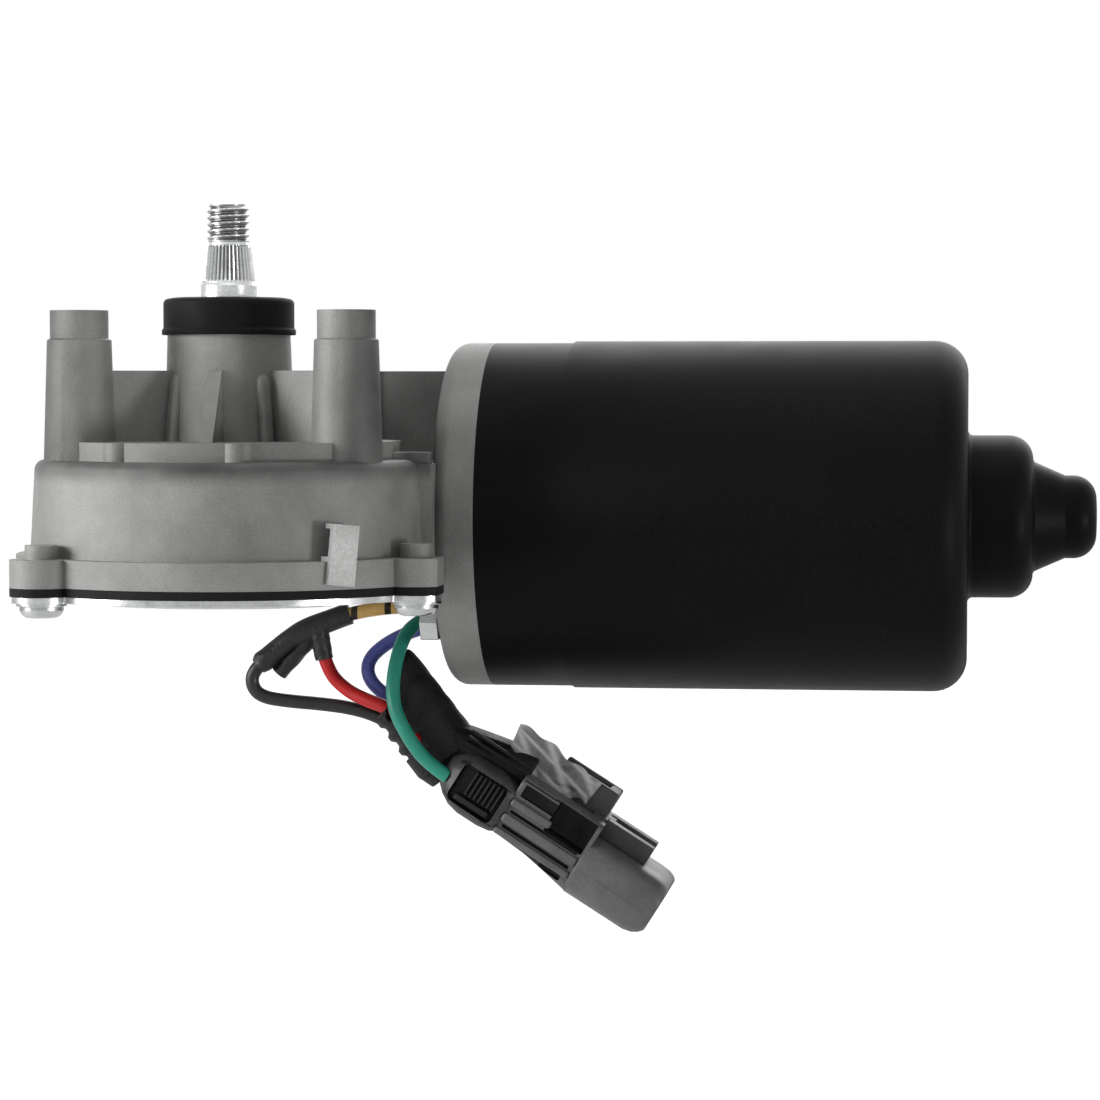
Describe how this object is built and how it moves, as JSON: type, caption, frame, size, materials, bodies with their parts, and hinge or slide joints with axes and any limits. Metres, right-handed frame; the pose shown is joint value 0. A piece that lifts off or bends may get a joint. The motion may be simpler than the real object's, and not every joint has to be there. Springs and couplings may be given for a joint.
{
  "type": "wiper motor",
  "caption": "Wiper motor: a round motor can beside a worm gear housing with a serrated output shaft, three posts, and leads to a plug.",
  "frame": {"origin": "on the output shaft's axis, in the plane of the three mounting posts' ends", "axes": "+Z along the output shaft towards its threaded end, +X along the armature towards the closed end of the motor can, +Y from the shaft towards the worm"},
  "size_m": [0.203, 0.1071, 0.1404],
  "materials": {
    "cast_aluminium": "as cast, grainy, matt",
    "gasket_rubber": "matt",
    "zinc_plated_steel": "bright zinc plate",
    "bright_steel": "ground and turned steel",
    "sintered_bronze": "oiled sintered bronze",
    "contact_brass": "rolled brass sheet",
    "black_rubber": "matt moulded rubber",
    "black_paint": "semi-gloss black paint",
    "ferrite": "matt ferrite",
    "core_steel": "stamped core plates",
    "enamelled_copper": "enamelled winding wire",
    "copper": "turned copper",
    "carbon": "matt carbon",
    "white_acetal": "moulded acetal, greased",
    "moulded_plastic": "moulded phenolic",
    "connector_plastic": "dark grey moulded nylon",
    "conduit_plastic": "black polypropylene",
    "shrink_sleeve": "matt shrink sleeve",
    "green_insulation": "wire insulation",
    "blue_insulation": "wire insulation",
    "yellow_insulation": "wire insulation with dark tracer marks",
    "black_insulation": "wire insulation",
    "red_insulation": "wire insulation",
    "tinned_blades": "tinned brass blades"
  },
  "bodies": {
    "housing": {"gear_housing": "cast_aluminium", "cover_gasket": "gasket_rubber", "cover_plate": "zinc_plated_steel", "cover_screws": "zinc_plated_steel", "earth_tab": "zinc_plated_steel", "upper_shaft_bush": "sintered_bronze", "lower_shaft_bush": "sintered_bronze", "shaft_washer": "bright_steel", "thrust_washer": "bright_steel", "seal_cap": "black_rubber", "contact_carrier": "moulded_plastic", "park_contacts": "contact_brass", "tip_bush": "sintered_bronze", "front_bush": "sintered_bronze", "adjusting_screw": "bright_steel", "motor_can": "black_paint", "flange_screws": "zinc_plated_steel", "magnets": "ferrite", "rear_bush": "sintered_bronze", "bush_retainer": "bright_steel", "thrust_pad": "moulded_plastic", "brush_card": "moulded_plastic", "brush_holders": "contact_brass", "brushes": "carbon", "brush_springs": "bright_steel", "lead_grommet": "black_rubber", "green_lead": "green_insulation", "blue_lead": "blue_insulation", "yellow_lead": "yellow_insulation", "black_lead": "black_insulation", "red_lead": "red_insulation", "splice_sleeve": "shrink_sleeve", "lead_conduit": "conduit_plastic", "connector_rear_cap": "connector_plastic", "connector_lock": "connector_plastic", "connector_body": "connector_plastic", "connector_rails": "connector_plastic", "connector_blades": "tinned_blades"},
    "output": {"output_shaft": "bright_steel", "shaft_clip": "bright_steel", "wheel_hub": "bright_steel", "worm_wheel": "white_acetal", "park_disc": "contact_brass"},
    "armature": {"armature_shaft": "bright_steel", "armature_core": "core_steel", "armature_windings": "enamelled_copper", "commutator": "copper"}
  },
  "joints": [
    {"name": "armature_spin", "type": "hinge", "parent": "housing", "child": "armature", "pos_m": [0, 0.03313, -0.0392], "axis": [1, 0, 0], "continuous": true},
    {"name": "output_spin", "type": "hinge", "parent": "housing", "child": "output", "pos_m": [0, 0, 0], "axis": [0, 0, 1], "continuous": true}
  ],
  "couplings": [
    {"joint": "output_spin", "follows": "armature_spin", "ratio": 0.022222}
  ]
}
